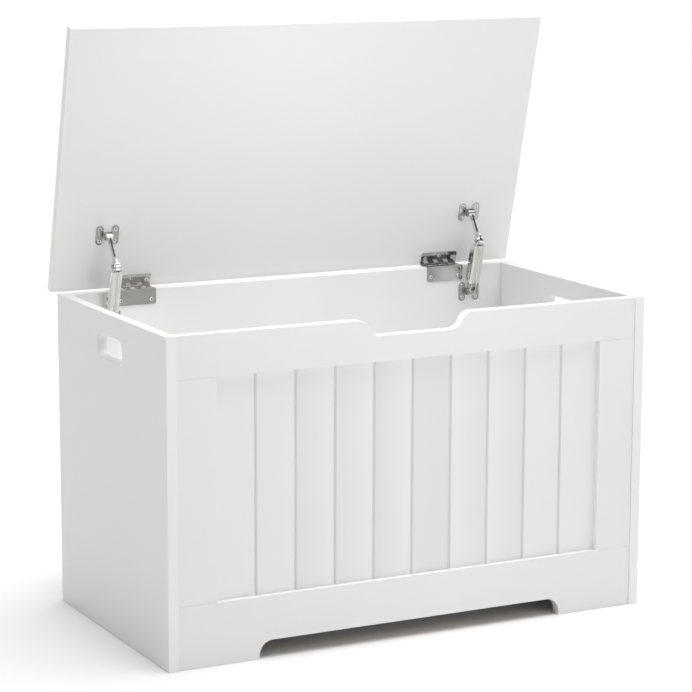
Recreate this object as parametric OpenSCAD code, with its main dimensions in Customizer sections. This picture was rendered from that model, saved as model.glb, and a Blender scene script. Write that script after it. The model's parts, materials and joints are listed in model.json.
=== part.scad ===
// Wooden toy box: a framed chest with a beadboard front, a slab lid on two
// wrap-around hinges, and two spring-loaded friction stays that hold the lid.
// Millimetres, +Z up. The origin is the middle of the back panel's foot, on the
// floor. X runs across the box, -Y is the front. The lid is drawn at its open stop.

/* [Box] */
// Width over the two side panels
box_w = 746; // [640:1:960]
// Depth of the side panels
box_d = 392; // [340:1:520]
// Height of the box without its lid
box_h = 455; // [380:1:560]
// Thickness of every main panel
panel_t = 15; // [14:0.5:20]
// How far the front frame is set back between the side panels
front_setback = 1.5; // [0:0.5:3]

/* [Front frame] */
// Height of the top rail
top_rail_h = 59; // [50:1:80]
// Height of the bottom rail
bottom_rail_h = 88; // [85:1:110]
// Width of each stile
stile_w = 58; // [50:1:80]
// Thickness of the beadboard panel
bead_t = 7; // [5:0.5:8]
// Width of the rebate that the beadboard panel lies in
rebate_w = 10; // [6:1:12]
// Distance between two bead grooves
groove_pitch = 60; // [40:1:90]
// Width of a bead groove at the surface
groove_w = 4.4; // [2:0.2:7]
// Depth of a bead groove
groove_deep = 2.4; // [1:0.2:3.5]

/* [Cut-outs] */
// Width of the finger cut-out in the top rail, at half its depth
grip_w = 146; // [100:1:200]
// Run of the curve at each end of the finger cut-out
grip_run = 34; // [24:1:50]
// Depth of the finger cut-out
grip_deep = 23; // [16:1:30]
// Width of the arch under the bottom rail
arch_w = 476; // [360:1:520]
// Height of the arch
arch_h = 25; // [15:1:32]
// Radius of the arch's corners
arch_r = 20; // [8:1:24]
// Length of a handle hole
handle_w = 90; // [80:1:120]
// Height of a handle hole
handle_h = 33; // [26:1:36]
// Radius of a handle hole's corners
handle_r = 15; // [8:0.5:16]
// Middle of a handle hole below the top edge
handle_drop = 47; // [40:1:70]

/* [Floor] */
// Underside of the floor panel above the ground
floor_z = 40; // [32:1:60]
// Thickness of the floor panel
floor_t = 9; // [6:0.5:12]
// Width of a floor cleat
cleat_w = 15; // [12:1:20]
// Height of a floor cleat
cleat_h = 12; // [10:1:25]

/* [Lid] */
// Overhang of the lid past each side panel
lid_side_over = 7; // [0:0.5:12]
// How far the closed lid stands before the side panels
lid_front_over = 0.2; // [0:0.1:5]
// Thickness of the lid
lid_t = 15; // [14:0.5:20]
// Gap between the closed lid and the box
lid_gap = 2.8; // [2.8:0.1:4]
// How far the closed lid stands behind the back panel
lid_back_over = 1.8; // [0.5:0.1:2.5]
// Travel of the lid from closed to its open stop, in degrees
lid_travel = 76; // [60:1:80]

/* [Hinges] */
// Gap between a hinge and the stay's cover beside it
hinge_gap = 3; // [1:0.5:60]
// Width of a hinge
hinge_w = 62; // [50:1:70]
// Height of the leaf on the back panel
hinge_body_h = 22; // [20:1:28]
// Depth of the leaf on the lid
hinge_lid_h = 20; // [18:1:26]
// Thickness of the hinge plate
hinge_t = 1.2; // [1:0.1:1.2]
// Radius of a hinge knuckle
knuckle_r = 3; // [2.6:0.1:3]
// Radius of a hinge pin
hinge_pin_r = 1.3; // [1:0.1:1.5]

/* [Stays] */
// Distance of each stay from the inner face of the side panel
stay_inset = 58; // [40:1:90]
// Lid pivot of the stay from the lid's rear edge
stay_lid_reach = 84; // [75:1:90]
// Lower pivot of the stay below the top edge
stay_drop = 41; // [38:1:50]
// Pivots above the face that their bracket is screwed to
pivot_off = 7; // [7:0.5:9]
// Radius of the stay's pins
stay_pin_r = 2; // [1.5:0.1:2.4]
// Thickness of the stay's sheet steel
stay_t = 1.2; // [1:0.1:1.2]
// Width of the stay's cover
cover_w = 18; // [16.5:0.5:22]

/* [Hidden] */
$fn = 48;

// clearances
touch = 0.01;          // parts of one body that are pressed together
running = 0.05;        // a pin that turns in its hole
pass = 0.3;            // plates that slide past each other

// colours
paint = "whitesmoke";
steel = "silver";
timber = "burlywood";

// derived planes of the box
in_x = box_w / 2 - panel_t;
mid_y = (panel_t - box_d) / 2;
back_y = panel_t / 2;
back_in_y = back_y - panel_t;
front_y = mid_y - box_d / 2 + front_setback;
front_in_y = front_y + panel_t;
frame_mid_y = front_y + panel_t / 2;
open_x = in_x - stile_w;
open_z0 = bottom_rail_h;
open_z1 = box_h - top_rail_h;

// places of the fittings across the box
stay_x = in_x - stay_inset;
hinge_x = stay_x - cover_w / 2 - hinge_gap - hinge_w / 2;

// hinge axis, and the closed lid seen from it
pin_y = back_y + knuckle_r + 0.4;
pin_z = box_h - knuckle_r / 2;
lid_back_y = back_y + lid_back_over;
lid_under_z = box_h + lid_gap;
lid_d = box_d + lid_back_over + lid_front_over;

// stay: a parallelogram of hinge axis, lid pivot, elbow and lower pivot
function turn(v, a) = [v[0] * cos(a) - v[1] * sin(a), v[0] * sin(a) + v[1] * cos(a)];
hinge_axis = [pin_y, pin_z];
low_pivot = [back_in_y - pivot_off, box_h - stay_drop];
lid_pivot_closed = [lid_back_y - stay_lid_reach, lid_under_z - pivot_off];
reach = turn(lid_pivot_closed - hinge_axis, -lid_travel);
lid_pivot = hinge_axis + reach;
elbow = low_pivot + reach;
stay_len = norm(reach);
stay_lean = atan2(-reach[0], reach[1]);
arm_vec = lid_pivot - elbow;
arm_len = norm(arm_vec);
arm_lean = atan2(-arm_vec[0], arm_vec[1]);

// stay sections
channel_w = 9.4;                       // outside of the channel
channel_r = 5.5;                       // its rounded ends
ear_in = channel_w / 2 + pass;         // inner face of a bracket's ears
cam_r = 7.5;
lobe_r = 8.5;                          // egg-shaped foot of the arm, around its cam
lobe_z = 5;
arm_t = 3;
arm_w = 7;
cover_z0 = 17;                         // cover along the channel
cover_z1 = stay_len - 6;
cover_back = 7;                        // cover behind and before the channel line
cover_front = 8;
head_t = 1;                            // rivet head
head_r = stay_pin_r + 1.2;
plate_screw_x = 12;                    // bracket plate: two upright pads and a bridge
plate_screw_z = 9;
pad_r = 5.8;
bridge_h = 10;

// fittings
screw_len = 12;
screw_head_r = 3.5;
screw_shank_r = 1.25;
screw_cone = 1.75;
dowel_r = 4;
dowel_len = 30;
bolt_r = 3;
bolt_in = 11;
cam_lock_r = 7.5;
cam_lock_t = 12;
cam_inset = 24;
stile_dowel_x = open_x + rebate_w + dowel_r + 4;
cleat_end = 30;                        // cleat's end from the side panel
cleat_screw_r = 1.6;
cleat_screw_grip = 9;                  // its length in the panel
cleat_screw_end = 30;                  // outer screw from the cleat's end

// Countersunk screw: its head's flat face at z = 0, its point down.
module screw(grow = 0) {
    r = screw_head_r + grow;
    s = screw_shank_r + grow;
    translate([0, 0, -screw_cone]) cylinder(r1 = s, r2 = r, h = screw_cone);
    translate([0, 0, -screw_len]) cylinder(r = s, h = screw_len - screw_cone + 0.2);
}

// Cylinder along X, centred on x = 0.
module rod(r, len) {
    rotate([0, 90, 0]) cylinder(r = r, h = len, center = true);
}

// Box given by its two corners.
module block(a, b) {
    translate(a) cube(b - a);
}

// Places children at the pivot [y, z], leaning forwards by an angle.
module at_pivot(x, p, lean = 0) {
    translate([x, p[0], p[1]]) rotate([lean, 0, 0]) children();
}

// Places children given for the closed lid where the open lid has them.
module opened() {
    translate([0, pin_y, pin_z]) rotate([-lid_travel, 0, 0])
        translate([0, -pin_y, -pin_z]) children();
}

// Places a screw or its hole into the back panel, and into the closed lid.
module into_back(x, z) {
    translate([x, back_in_y - hinge_t, z]) rotate([90, 0, 0]) children();
}
module into_lid(x, from_edge) {
    translate([x, lid_back_y - from_edge, lid_under_z - hinge_t])
        rotate([180, 0, 0]) children();
}

// ---- fittings that pass between panels; grow > 0 gives their holes ----
module panel_bolts(grow = 0) {
    for (s = [-1, 1], p = bolt_spots)
        translate([s * (in_x - cam_inset / 2 + bolt_in / 2), p[0], p[1]])
            rod(bolt_r + grow, cam_inset + bolt_in);
}
bolt_spots = [[frame_mid_y, box_h - 43], [frame_mid_y, 62],
    [0, 100], [0, box_h - 125]];

module cams(grow = 0) {
    for (s = [-1, 1], p = bolt_spots) {
        front = p[0] < mid_y;
        y = front ? front_in_y : back_in_y;
        translate([s * (in_x - cam_inset), y, p[1]]) rotate([front ? 90 : -90, 0, 0])
            cylinder(r = cam_lock_r + grow, h = cam_lock_t);
    }
}

dowel_spots = [[frame_mid_y, box_h - 16], [frame_mid_y, 36],
    [0, 62], [0, box_h / 2],
    [0, box_h - 85]];
module dowels(grow = 0) {
    for (s = [-1, 1], p = dowel_spots)
        translate([s * (in_x - 4), p[0], p[1]]) rod(dowel_r + grow, dowel_len);
    for (s = [-1, 1], z = [open_z0, open_z1])
        translate([s * stile_dowel_x, frame_mid_y, z])
            cylinder(r = dowel_r + grow, h = dowel_len, center = true);
}

// ---- wooden panels ----
module handle_hole() {
    r = min(handle_r, handle_h / 2);
    long = handle_w / 2 - r;
    high = handle_h / 2 - r;
    translate([0, mid_y, box_h - handle_drop]) {
        for (s = [-1, 1], t = [-1, 1])
            translate([0, s * long, t * high]) rod(r, 3 * panel_t);
        cube([3 * panel_t, 2 * long, handle_h], center = true);
        cube([3 * panel_t, handle_w, max(2 * high, touch)], center = true);
    }
}

module side_panel(s) {
    color(paint) difference() {
        translate([s * (in_x + panel_t / 2), mid_y, box_h / 2])
            cube([panel_t, box_d, box_h], center = true);
        translate([s * (in_x + panel_t / 2), 0, 0]) handle_hole();
        panel_bolts(touch);
        dowels(touch);
    }
}

module back_panel() {
    color(paint) difference() {
        block([-in_x, back_in_y, 0], [in_x, back_y, box_h]);
        panel_bolts(touch);
        dowels(touch);
        cams(touch);
        body_leaf_screws(touch);
        back_bracket_screws(touch);
        cleat_fixings(touch);
    }
}

module floor_panel() {
    color(paint) block([-in_x, front_in_y, floor_z], [in_x, back_in_y, floor_z + floor_t]);
}

module front_cleat() {
    color(timber) difference() {
        block([cleat_end - in_x, front_in_y, floor_z - cleat_h],
            [in_x - cleat_end, front_in_y + cleat_w, floor_z]);
        cleat_fixings(touch);
    }
}

module back_cleat() {
    color(timber) difference() {
        block([cleat_end - in_x, back_in_y - cleat_w, floor_z - cleat_h],
            [in_x - cleat_end, back_in_y, floor_z]);
        cleat_fixings(touch);
    }
}

module cleat_fixings(grow = 0) {
    r = cleat_screw_r + grow;
    h = cleat_screw_grip + cleat_w;
    z = floor_z - cleat_h / 2;
    reach = in_x - cleat_end - cleat_screw_end;
    for (x = [-1, -1 / 3, 1 / 3, 1] * reach) {
        translate([x, front_in_y - cleat_screw_grip, z]) rotate([-90, 0, 0]) cylinder(r = r, h = h);
        translate([x, back_in_y + cleat_screw_grip, z]) rotate([90, 0, 0]) cylinder(r = r, h = h);
    }
}

// Outline of the finger cut-out: an ogee of two equal arcs at each end.
module grip_shape() {
    r = (grip_run * grip_run + grip_deep * grip_deep) / (4 * grip_deep);
    sweep = 2 * atan(grip_deep / grip_run);
    n = 10;
    inner = (grip_w - grip_run) / 2;
    outer = (grip_w + grip_run) / 2;
    low = [for (i = [0:n]) [inner + r * sin(i * sweep / n), r - r * cos(i * sweep / n)]];
    high = [for (i = [n - 1:-1:0])
        [outer - r * sin(i * sweep / n), grip_deep - r + r * cos(i * sweep / n)]];
    right = concat(low, high, [[outer, grip_deep + 1]]);
    left = [for (i = [len(right) - 1:-1:0]) [-right[i][0], right[i][1]]];
    polygon(concat(right, left));
}

// Shape drawn in X and Z, cut through the front frame.
module through_front() {
    translate([0, front_in_y + 1, 0]) rotate([90, 0, 0])
        linear_extrude(panel_t + 2) children();
}

module arch_shape() {
    translate([-arch_w / 2, -1]) square([arch_w, arch_h + 1 - arch_r]);
    translate([-arch_w / 2 + arch_r, -1]) square([arch_w - 2 * arch_r, arch_h + 1]);
    for (s = [-1, 1])
        translate([s * (arch_w / 2 - arch_r), arch_h - arch_r]) circle(r = arch_r);
}

// Space of the beadboard panel in the back of the frame.
module bead_space(grow = 0) {
    g = rebate_w + grow;
    block([-open_x - g, front_in_y - bead_t - grow, open_z0 - g],
        [open_x + g, front_in_y + grow, open_z1 + g]);
}

module rail_fixings() {
    bead_space(touch);
    panel_bolts(touch);
    cams(touch);
    dowels(touch);
}

module front_top_rail() {
    color(paint) difference() {
        block([-in_x, front_y, open_z1], [in_x, front_in_y, box_h]);
        through_front() translate([0, box_h - grip_deep]) grip_shape();
        rail_fixings();
        bumpers(touch);
    }
}

module front_bottom_rail() {
    color(paint) difference() {
        block([-in_x, front_y, 0], [in_x, front_in_y, open_z0]);
        through_front() arch_shape();
        rail_fixings();
        cleat_fixings(touch);
    }
}

module stile(s) {
    x0 = s > 0 ? open_x : -in_x;
    color(paint) difference() {
        block([x0, front_y, open_z0], [x0 + stile_w, front_in_y, open_z1]);
        rail_fixings();
    }
}

module beadboard_panel() {
    face = front_in_y - bead_t;
    count = floor(open_x / groove_pitch);
    color(paint) difference() {
        bead_space();
        for (i = [-count:count])
            if (abs(i * groove_pitch) < open_x - groove_w)
                translate([i * groove_pitch, face, open_z0 - rebate_w - 1])
                    linear_extrude(open_z1 - open_z0 + 2 * rebate_w + 2)
                        polygon([[-groove_w / 2, -touch], [groove_w / 2, -touch],
                            [0, groove_deep]]);
    }
}

// Lid buffers pressed into the top rail.
bumper_x = box_w / 2 - 65;
module bumpers(grow = 0) {
    for (s = [-1, 1])
        translate([s * bumper_x, frame_mid_y, box_h]) {
            cylinder(r = 5, h = 2);
            translate([0, 0, -6 - grow]) cylinder(r = 2 + grow, h = 7);
        }
}

module lid_panel() {
    w = box_w / 2 + lid_side_over;
    color(paint) opened() difference() {
        block([-w, lid_back_y - lid_d, lid_under_z], [w, lid_back_y, lid_under_z + lid_t]);
        lid_leaf_screws(touch);
        lid_bracket_screws(touch);
    }
}

// ---- hinges ----
knuckles = 7;
module knuckle_row(which) {
    pitch = hinge_w / knuckles;
    for (i = [which:2:knuckles - 1])
        translate([(i + 0.5 - knuckles / 2) * pitch, 0, 0]) children();
}
knuckle_len = hinge_w / knuckles - pass;

// Leaf outline: X across, Y from its rounded free edge at 0 up to the fold.
module leaf_shape(h) {
    r = 3;
    translate([-hinge_w / 2, r]) square([hinge_w, h - r]);
    translate([r - hinge_w / 2, 0]) square([hinge_w - 2 * r, r + 1]);
    for (s = [-1, 1]) translate([s * (hinge_w / 2 - r), r]) circle(r = r);
}

module hinge_body_leaf(s) {
    z1 = box_h + hinge_t;
    half = hinge_w / 2;
    color(steel) difference() {
        translate([s * hinge_x, 0, 0]) {
            translate([0, back_in_y, box_h - hinge_body_h]) rotate([90, 0, 0])
                linear_extrude(hinge_t) leaf_shape(hinge_body_h + hinge_t);
            block([-half, back_in_y - hinge_t, box_h], [half, back_y, z1]);
            knuckle_row(0) {
                translate([0, pin_y, pin_z]) rod(knuckle_r, knuckle_len);
                block([-knuckle_len / 2, back_y - 1, box_h], [knuckle_len / 2, pin_y, z1]);
            }
        }
        translate([s * hinge_x, pin_y, pin_z]) rod(hinge_pin_r + touch, hinge_w + 2);
        // slots that the knuckles of the lid leaf swing in
        translate([s * hinge_x, 0, 0]) knuckle_row(1)
            block([-knuckle_len / 2, back_y - hinge_slot, box_h - 1],
                [knuckle_len / 2, back_y + 1, z1 + 1]);
        body_leaf_screws(touch);
    }
}

module hinge_lid_leaf(s) {
    z0 = lid_under_z - hinge_t;
    wrap_y = pin_y + knuckle_r;
    color(steel) opened() difference() {
        translate([s * hinge_x, 0, 0]) {
            translate([0, lid_back_y - hinge_lid_h, z0])
                linear_extrude(hinge_t) leaf_shape(hinge_lid_h);
            knuckle_row(1) {
                translate([0, pin_y, pin_z]) rod(knuckle_r, knuckle_len);
                block([-knuckle_len / 2, lid_back_y - 1, z0],
                    [knuckle_len / 2, wrap_y, lid_under_z]);
                block([-knuckle_len / 2, wrap_y - hinge_t, pin_z],
                    [knuckle_len / 2, wrap_y, lid_under_z]);
            }
        }
        translate([s * hinge_x, pin_y, pin_z]) rod(hinge_pin_r + running, hinge_w + 2);
        lid_leaf_screws(touch);
    }
}

module hinge_pin(s) {
    color(steel) translate([s * hinge_x, pin_y, pin_z]) rod(hinge_pin_r, hinge_w);
}

hinge_slot = 7;
hinge_screw_x = 24;
module body_leaf_screws(grow = 0) {
    for (s = [-1, 1], x = [-hinge_screw_x, hinge_screw_x])
        into_back(s * hinge_x + x, box_h - 15) screw(grow);
}

module lid_leaf_screws(grow = 0) {
    for (s = [-1, 1], i = [-1, 0, 1])
        into_lid(s * hinge_x + i * hinge_screw_x, i == 0 ? 14.5 : 10.5) screw(grow);
}

// ---- stays ----
// Bracket lying on z = 0, its ears rising in +Z to a pivot at height pivot_off.
module bracket() {
    difference() {
        union() {
            for (s = [-1, 1]) translate([s * plate_screw_x, 0, 0]) {
                for (j = [-1, 1]) translate([0, j * plate_screw_z, 0])
                    cylinder(r = pad_r, h = stay_t);
                block([-pad_r, -plate_screw_z, 0], [pad_r, plate_screw_z, stay_t]);
            }
            block([-plate_screw_x, -bridge_h / 2, 0], [plate_screw_x, bridge_h / 2, stay_t]);
            for (s = [-1, 1])
                translate([s * (ear_in + stay_t / 2), 0, 0]) {
                    translate([0, 0, pivot_off]) rod(5, stay_t);
                    translate([-stay_t / 2, -5, 0]) cube([stay_t, 10, pivot_off]);
                }
        }
        translate([0, 0, pivot_off]) rod(stay_pin_r + touch, 30);
    }
}

module stay_back_bracket(s) {
    color(steel) difference() {
        translate([s * stay_x, back_in_y, low_pivot[1]]) rotate([90, 0, 0]) bracket();
        back_bracket_screws(touch);
    }
}

module stay_lid_bracket(s) {
    color(steel) opened() difference() {
        translate([s * stay_x, lid_pivot_closed[0], lid_under_z]) rotate([180, 0, 0]) bracket();
        lid_bracket_screws(touch);
    }
}

module back_bracket_screws(grow = 0) {
    for (s = [-1, 1], i = [-1, 1], j = [-1, 1])
        into_back(s * stay_x + i * plate_screw_x, low_pivot[1] + j * plate_screw_z) screw(grow);
}

module lid_bracket_screws(grow = 0) {
    for (s = [-1, 1], i = [-1, 1], j = [-1, 1])
        into_lid(s * stay_x + i * plate_screw_x, stay_lid_reach + j * plate_screw_z) screw(grow);
}

// Headed pin along X: half is the distance from its middle to each head.
module rivet(half) {
    rod(stay_pin_r, 2 * half);
    for (s = [-1, 1])
        translate([s * (half + head_t / 2), 0, 0]) rod(head_r, head_t);
}

// U-shaped channel from the lower pivot to the elbow, drawn along +Z.
module stay_channel(s) {
    web_y = -channel_r;
    color(steel) at_pivot(s * stay_x, low_pivot, stay_lean) difference() {
        union() {
            for (i = [-1, 1])
                translate([i * (channel_w - stay_t) / 2, 0, 0]) {
                    rod(channel_r, stay_t);
                    translate([0, 0, stay_len]) rod(channel_r, stay_t);
                    translate([-stay_t / 2, -channel_r, 0])
                        cube([stay_t, 2 * channel_r, stay_len]);
                }
            block([-channel_w / 2, web_y, cover_z0], [channel_w / 2, web_y + stay_t, shoe_z1]);
            // seat of the spring
            block([-channel_w / 2, -channel_r, spring_z0 - stay_t],
                [channel_w / 2, channel_r, spring_z0]);
        }
        rod(stay_pin_r + running, 30);
        translate([0, 0, stay_len]) rod(stay_pin_r + 2 * running, 30);
        for (z = rivet_z) translate([0, 0, z]) rod(rivet_r + touch, 30);
    }
}
rivet_r = 1.5;
rivet_z = [cover_z0 + 6, cover_z0 + 18];
spring_z0 = cover_z0 + 23;
shoe_z0 = stay_len - 19;
shoe_z1 = stay_len - cam_r - pass;
shoe_back = 1.5;                       // stops short of the folded arm
shoe_slot = 12.5;                      // floor of its slot, below the elbow

// Cover around the channel, open behind and at both ends, cut slanting at its foot.
module stay_cover(s) {
    half = cover_w / 2;
    color(steel) at_pivot(s * stay_x, low_pivot, stay_lean) difference() {
        block([-half, -cover_front, cover_z0], [half, cover_back, cover_z1]);
        block([-half + stay_t, -cover_front + stay_t, cover_z0 - 1],
            [half - stay_t, cover_back + 1, cover_z1 + 1]);
        translate([0, cover_back, cover_z0]) rotate([45, 0, 0])
            cube([cover_w + 2, 12, 12], center = true);
        for (z = rivet_z) translate([0, 0, z]) rod(rivet_r + touch, 30);
    }
}

module stay_rivets(s) {
    half = cover_w / 2;
    color(steel) at_pivot(s * stay_x, low_pivot, stay_lean)
        for (z = rivet_z) translate([0, 0, z]) {
            rod(rivet_r, cover_w);
            for (i = [-1, 1]) translate([i * (half + 0.4), 0, 0]) rod(rivet_r + 1, 0.8);
            // spacers between channel and cover
            for (i = [-1, 1]) {
                gap = half - stay_t - channel_w / 2 - 2 * touch;
                translate([i * (channel_w / 2 + touch + gap / 2), 0, 0]) rod(rivet_r + 1, gap);
            }
        }
}

// Coil spring as a round wire swept along a helix.
module coil(r, wire, len, turns) {
    per = 16;
    sides = 8;
    n = turns * per;
    pts = [for (i = [0:n], k = [0:sides - 1])
        let (a = i * 360 / per, b = k * 360 / sides, q = r + wire * cos(b))
        [q * cos(a), q * sin(a), wire + (len - 2 * wire) * i / n + wire * sin(b)]];
    walls = [for (i = [0:n - 1], k = [0:sides - 1])
        let (k2 = (k + 1) % sides)
        [i * sides + k, i * sides + k2, (i + 1) * sides + k2, (i + 1) * sides + k]];
    first = [for (k = [sides - 1:-1:0]) k];
    last = [for (k = [0:sides - 1]) n * sides + k];
    polyhedron(points = pts, faces = concat([first], walls, [last]), convexity = 10);
}

module stay_spring(s) {
    color("gray") at_pivot(s * stay_x, low_pivot, stay_lean)
        translate([0, 0, spring_z0]) coil(2.6, 0.5, shoe_z0 - spring_z0, 8);
}

// Shoe that the spring presses towards the cam.
module friction_shoe(s) {
    half = channel_w / 2 - stay_t - 0.1;
    slot = arm_t / 2 + pass;
    color("dimgray") at_pivot(s * stay_x, low_pivot, stay_lean) difference() {
        block([-half, -channel_r + stay_t + 0.1, shoe_z0], [half, shoe_back, shoe_z1]);
        // slot for the foot of the folded arm
        block([-slot, -channel_r, stay_len - shoe_slot], [slot, shoe_back + 1, shoe_z1 + 1]);
    }
}

// Arm from the elbow to the lid, with its round cam at the elbow.
module stay_arm(s) {
    cam_w = channel_w - 2 * stay_t - 2 * pass;
    color(steel) at_pivot(s * stay_x, elbow, arm_lean) difference() {
        union() {
            rod(cam_r, cam_w);
            translate([0, 0, arm_len]) rod(5, channel_w);
            translate([0, 0, lobe_z]) rod(lobe_r, arm_t);
            translate([-arm_t / 2, -arm_w / 2, 0]) cube([arm_t, arm_w, arm_len]);
        }
        rod(stay_pin_r + touch, 30);
        translate([0, 0, arm_len]) rod(stay_pin_r + running, 30);
    }
}

module stay_back_pins() {
    color(steel) for (s = [-1, 1])
        at_pivot(s * stay_x, low_pivot) rivet(ear_in + stay_t);
}

module stay_lid_pins() {
    color(steel) for (s = [-1, 1])
        at_pivot(s * stay_x, lid_pivot) rivet(ear_in + stay_t);
}

module elbow_pin(s) {
    color(steel) at_pivot(s * stay_x, elbow) rivet(ear_in);
}

side_panel(-1);  // left_side_panel
side_panel(1);  // right_side_panel
back_panel();
floor_panel();
front_top_rail();
front_bottom_rail();
stile(-1);  // left_stile
stile(1);  // right_stile
beadboard_panel();
front_cleat();
back_cleat();
color(steel) cleat_fixings();  // cleat_screws
color(timber) dowels();  // wood_dowels
color(steel) panel_bolts();  // cam_bolts
color(steel) difference() { cams(); panel_bolts(touch); }  // cam_locks
color("snow") bumpers();  // lid_bumpers
hinge_body_leaf(-1);  // left_hinge_body_leaf
hinge_body_leaf(1);  // right_hinge_body_leaf
hinge_pin(-1);  // left_hinge_pin
hinge_pin(1);  // right_hinge_pin
color(steel) body_leaf_screws();  // hinge_body_screws
stay_back_bracket(-1);  // left_stay_back_bracket
stay_back_bracket(1);  // right_stay_back_bracket
stay_back_pins();
color(steel) back_bracket_screws();  // stay_back_screws
lid_panel();
hinge_lid_leaf(-1);  // left_hinge_lid_leaf
hinge_lid_leaf(1);  // right_hinge_lid_leaf
color(steel) opened() lid_leaf_screws();  // hinge_lid_screws
stay_lid_bracket(-1);  // left_stay_lid_bracket
stay_lid_bracket(1);  // right_stay_lid_bracket
stay_lid_pins();
color(steel) opened() lid_bracket_screws();  // stay_lid_screws
stay_channel(-1);  // left_stay_channel
stay_channel(1);  // right_stay_channel
stay_cover(-1);  // left_stay_cover
stay_cover(1);  // right_stay_cover
stay_rivets(-1);  // left_stay_rivets
stay_rivets(1);  // right_stay_rivets
stay_spring(-1);  // left_stay_spring
stay_spring(1);  // right_stay_spring
friction_shoe(-1);  // left_friction_shoe
friction_shoe(1);  // right_friction_shoe
stay_arm(-1);  // left_stay_arm
stay_arm(1);  // right_stay_arm
elbow_pin(-1);  // left_elbow_pin
elbow_pin(1);  // right_elbow_pin
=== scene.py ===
# %% [markdown]
# # A white toy chest
# This lesson dresses a small lacquered toy chest: boards, a grooved front panel, hinges, lid stays
# and screws. The frame already holds every part at its true size and place, in metres, with +Z up
# and the front facing -Y. Places are read from it, and only what a box cannot tell, such as the
# radius of a corner, is repeated here as a named size.

# %% Load the frame
import json
import math

import bmesh
import bpy
from mathutils import Matrix, Vector


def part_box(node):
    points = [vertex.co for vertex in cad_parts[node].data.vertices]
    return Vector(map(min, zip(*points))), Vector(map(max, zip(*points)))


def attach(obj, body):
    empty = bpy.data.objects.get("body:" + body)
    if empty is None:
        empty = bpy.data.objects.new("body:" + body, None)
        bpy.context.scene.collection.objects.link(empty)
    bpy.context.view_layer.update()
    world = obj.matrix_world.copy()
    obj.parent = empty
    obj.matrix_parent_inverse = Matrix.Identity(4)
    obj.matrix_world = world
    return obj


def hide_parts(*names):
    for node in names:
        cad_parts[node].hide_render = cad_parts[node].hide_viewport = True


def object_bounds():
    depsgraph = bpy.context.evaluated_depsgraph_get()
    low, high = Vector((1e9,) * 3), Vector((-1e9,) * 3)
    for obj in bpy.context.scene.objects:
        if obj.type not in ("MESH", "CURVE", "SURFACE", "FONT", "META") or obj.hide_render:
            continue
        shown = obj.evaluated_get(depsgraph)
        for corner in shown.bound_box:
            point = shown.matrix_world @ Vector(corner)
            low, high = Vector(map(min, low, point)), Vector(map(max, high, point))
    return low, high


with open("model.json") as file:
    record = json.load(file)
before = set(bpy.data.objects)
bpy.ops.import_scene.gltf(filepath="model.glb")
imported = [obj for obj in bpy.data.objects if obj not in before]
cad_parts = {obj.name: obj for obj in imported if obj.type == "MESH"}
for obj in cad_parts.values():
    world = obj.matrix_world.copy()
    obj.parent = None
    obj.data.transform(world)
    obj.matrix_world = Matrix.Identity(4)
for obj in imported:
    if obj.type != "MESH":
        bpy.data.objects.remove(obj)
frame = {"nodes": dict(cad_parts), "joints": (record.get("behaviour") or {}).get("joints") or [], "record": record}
cad_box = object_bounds()
nodes = frame["nodes"]
joints = {j["name"]: j for j in frame["joints"]}
MM = 0.001

# %% [markdown]
# ## Camera, floor and light
# A chest like this is shown from a little above, on white. A long lens from some distance keeps the
# uprights nearly parallel. The camera comes first, because every other choice is judged through it.

# %% Camera
CAMERA_AT = Vector((-1.659, -3.379, 1.041))
CAMERA_YAW, CAMERA_DOWN, CAMERA_ROLL = 27.37, 10.40, 0.19  # degrees
LENS, SENSOR = 132.1, 36  # millimetres
camera_data = bpy.data.cameras.new("camera")
camera_data.lens = LENS
camera_data.sensor_width = SENSOR
camera = bpy.data.objects.new("camera", camera_data)
turn = Matrix.Rotation(math.radians(-CAMERA_YAW), 4, "Z")
tilt = Matrix.Rotation(math.radians(90 - CAMERA_DOWN), 4, "X")
roll = Matrix.Rotation(math.radians(CAMERA_ROLL), 4, "Z")
camera.matrix_world = Matrix.Translation(CAMERA_AT) @ turn @ tilt @ roll
bpy.context.collection.objects.link(camera)
bpy.context.scene.camera = camera

# %% [markdown]
# A wide sun from high on the right keeps the whole floor white, an even sky fills the shadows, and a
# soft box in front lifts the lid. Three weaker boxes reach the inside, the right of the front and the
# left handle hole. The left side of the chest falls a shade darker than its front, which shows the form.

# %% Light and sky
SKY, SUN, SUN_WIDTH = 0.30, 2.65, 55  # strengths, and the sun's width in degrees
scene = bpy.context.scene
scene.view_settings.view_transform = "Standard"


def aimed(name, kind, at, aim, power):
    lamp = bpy.data.lights.new(name, kind)
    lamp.energy = power
    holder = bpy.data.objects.new(name, lamp)
    holder.location = at
    holder.rotation_euler = (Vector(aim) - Vector(at)).to_track_quat("-Z", "Y").to_euler()
    holder.visible_camera = False
    bpy.context.collection.objects.link(holder)
    return lamp


def soft_box(name, at, aim, power, size, spread):
    lamp = aimed(name, "AREA", at, aim, power)
    lamp.shape = "DISK"
    lamp.size = size
    lamp.spread = math.radians(spread)


aimed("sun", "SUN", (0.5, -0.15, 3.0), (0, 0, 0), SUN).angle = math.radians(SUN_WIDTH)
soft_box("lid_box", at=(0.3, -1.7, 1.3), aim=(0.0, 0.0, 0.66), power=0.62, size=0.9, spread=44)
soft_box("inner_box", at=(-0.25, -0.35, 1.5), aim=(0.05, -0.15, 0.3), power=0.8, size=0.4, spread=50)
soft_box("right_box", at=(2.4, -1.9, 0.7), aim=(0.25, -0.38, 0.25), power=0.2, size=0.9, spread=60)
soft_box("handle_box", at=(-0.30, -0.2, 0.42), aim=(-0.28, -0.01, 0.36), power=0.012, size=0.08,
         spread=70)


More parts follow.
